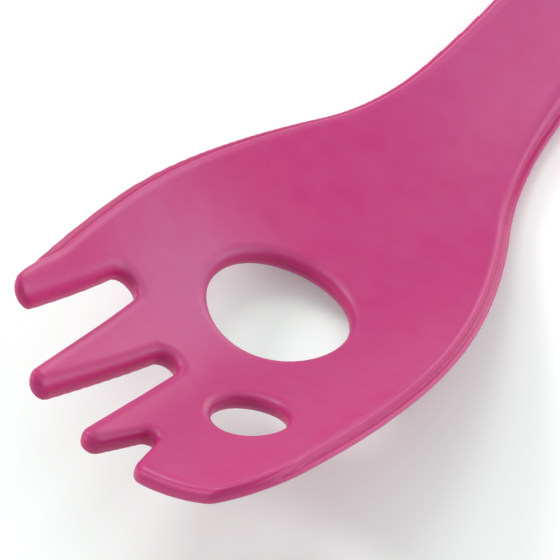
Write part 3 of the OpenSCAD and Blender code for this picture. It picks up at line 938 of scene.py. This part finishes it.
class SPORK_OT_skin(bpy.types.Operator):
    """Builds the silicone skin in place of the plain CAD skin"""

    bl_idname = "spork.skin"
    bl_label = "Silicone skin"

    def execute(self, context):
        look = context.scene.spork_skin
        piece = edged_blank(outline(look.draw_size))
        holes = (
            (BIG_HOLE, LIP_R, 0.0),
            (SMALL_HOLE, LIP_R, 0.0),
            ((Vector((0, HANDLE_REACH)), HANG_R), HANG_LIP_R, HANG_SLOPE),
        )
        for circle, lip, lean in holes:
            pierce(piece, hole_cutter(circle, lip, lean, look.draw_size))
        apply_modifier(piece, "REMESH", mode="VOXEL", voxel_size=look.mesh_size, adaptivity=0)
        apply_modifier(piece, "SMOOTH", factor=SMOOTH_FACTOR, iterations=look.smoothing)
        note_depths(piece)
        dish(piece)
        context.scene["spork_middle"] = lay_down(piece)
        select_only(piece)
        bpy.ops.object.shade_smooth()
        piece.data.materials.clear()
        piece.data.materials.append(silicone(look))
        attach(piece, "root")
        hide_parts("silicone_skin")
        return {"FINISHED"}


class SPORK_OT_core(bpy.types.Operator):
    """Gives the nylon core its moulded finish"""

    bl_idname = "spork.core"
    bl_label = "Nylon core"

    def execute(self, context):
        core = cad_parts["nylon_core"]
        finish = nylon(context.scene.spork_core)
        for slot in core.material_slots:
            slot.material = finish
        return {"FINISHED"}


def grey(value):
    """The grey of that value, as a colour."""
    return (value, value, value, 1)


def floor_finish(look):
    """Pale matte table top, with white that only the camera and glosses see."""
    material, nodes = new_material("table_top")
    place = nodes.place()
    cloud = nodes.noise(place, look.cloud_size, detail=2)
    far = nodes.band(nodes.away(place, PINK_PLACE), PINK_NEAR, PINK_FAR)
    seen = nodes.blend(far, look.seen_color[:], WHITE)
    tint = nodes.blend(nodes.seen(), look.floor_color[:], seen)
    tint = nodes.blend(cloud * CLOUD_STRENGTH, tint, WHITE)
    nodes.fill("Principled BSDF", Base_Color=tint, Roughness=TABLE_ROUGHNESS, Specular_IOR_Level=0)
    fade = nodes.band(nodes.away(place, PINK_PLACE), look.fade_start, look.fade_end)
    white = nodes.blend(fade, grey(look.floor_glow), grey(look.far_glow))
    glow = nodes.node("ShaderNodeEmission", {}, {"Color": white, "Strength": nodes.seen()})
    both = nodes.node("ShaderNodeAddShader", {}, {0: nodes.shader(), 1: glow})
    nodes.fill("Material Output", Surface=both)
    return material


def room_light(scene, strength):
    """Even light from all round, which the camera sees as white."""
    world = bpy.data.worlds.new("room")
    world.use_nodes = True
    scene.world = world
    nodes = Nodes(world.node_tree)
    camera = nodes.node("ShaderNodeLightPath", output="Is Camera Ray")
    nodes.fill("Background", Color=WHITE, Strength=strength + camera * (1 - strength))


def lamp_way(turn, rise):
    """The way to a lamp at these degrees from the front and above the table."""
    up = math.radians(rise)
    level = polar(math.radians(turn) - math.pi / 2) * math.cos(up)
    return level.to_3d() + Vector((0, 0, math.sin(up)))


def soft_lamp(name, place, aim, size, watts):
    """An area lamp, as wide and high as size says, at place that shines toward aim."""
    bpy.ops.object.light_add(type="AREA", location=place)
    lamp = bpy.context.object
    lamp.name = name
    lamp.data.shape = "RECTANGLE"
    lamp.data.size, lamp.data.size_y = size
    lamp.data.energy = watts
    lamp.rotation_euler = (Vector(aim) - Vector(place)).to_track_quat("-Z", "Y").to_euler()


def add_camera(scene, look):
    """Camera at the picture's angle to the bowl, in the place where the tool lies."""
    lay = to_table(scene["spork_middle"])
    azimuth, elevation, roll = look.azimuth, look.elevation, look.roll
    level = math.cos(elevation)
    back = Vector((math.sin(azimuth) * level, -math.cos(azimuth) * level, math.sin(elevation)))
    right = Vector((math.cos(azimuth), math.sin(azimuth), 0))
    up = back.cross(right)
    rolled_right = right * math.cos(roll) + up * math.sin(roll)
    rolled_up = up * math.cos(roll) - right * math.sin(roll)
    place = Vector(look.aim) + back * look.distance
    columns = (rolled_right, rolled_up, back, place)
    matrix = Matrix([[column[row] for column in columns] for row in range(3)]).to_4x4()
    bpy.ops.object.camera_add()
    camera = bpy.context.object
    camera.matrix_world = lay @ matrix
    camera.data.lens = look.lens
    camera.data.sensor_width = SENSOR_W
    camera.data.clip_end = CLIP_END
    scene.camera = camera


class SPORK_OT_stage(bpy.types.Operator):
    """Adds the table, the light and the camera"""

    bl_idname = "spork.stage"
    bl_label = "Stage"

    def execute(self, context):
        scene = context.scene
        look = scene.spork_stage
        bpy.ops.object.select_all(action="DESELECT")
        bpy.ops.mesh.primitive_plane_add(size=look.floor_size)
        floor = context.object
        floor.name = "table"
        floor.data.materials.append(floor_finish(look))
        room_light(scene, look.sky)
        aim = Vector(look.light_aim)
        for name, (turn, rise, width, height, watts) in LAMPS.items():
            place = aim + lamp_way(turn, rise) * look.lamp_distance
            soft_lamp(name, place, aim, (width, height), watts * look.light)
        add_camera(scene, look)
        scene.view_settings.view_transform = "Standard"
        return {"FINISHED"}


class SPORK_PT_panel(bpy.types.Panel):
    """Lists the steps that build the spork"""

    bl_idname = "SPORK_PT_panel"
    bl_label = "Spork"
    bl_space_type = "VIEW_3D"
    bl_region_type = "UI"
    bl_category = "Spork"

    def draw(self, context):
        for step in STEPS:
            self.layout.operator(step.bl_idname)
        for look in (context.scene.spork_skin, context.scene.spork_core, context.scene.spork_stage):
            for name in look.__annotations__:
                self.layout.prop(look, name)


STEPS = (SPORK_OT_skin, SPORK_OT_core, SPORK_OT_stage)
LOOKS = {"spork_skin": SporkSkinLook, "spork_core": SporkCoreLook, "spork_stage": SporkStageLook}
CLASSES = tuple(LOOKS.values()) + STEPS + (SPORK_PT_panel,)


def register():
    """Adds the classes and the scene's settings."""
    for kind in CLASSES:
        bpy.utils.register_class(kind)
    for name, kind in LOOKS.items():
        setattr(bpy.types.Scene, name, PointerProperty(type=kind))


def unregister():
    """Takes the settings and the classes away."""
    for name in LOOKS:
        delattr(bpy.types.Scene, name)
    for kind in reversed(CLASSES):
        bpy.utils.unregister_class(kind)


def main():
    """Builds every piece in order."""
    register()
    bpy.ops.spork.skin()
    bpy.ops.spork.core()
    bpy.ops.spork.stage()


if __name__ == "__main__":
    main()
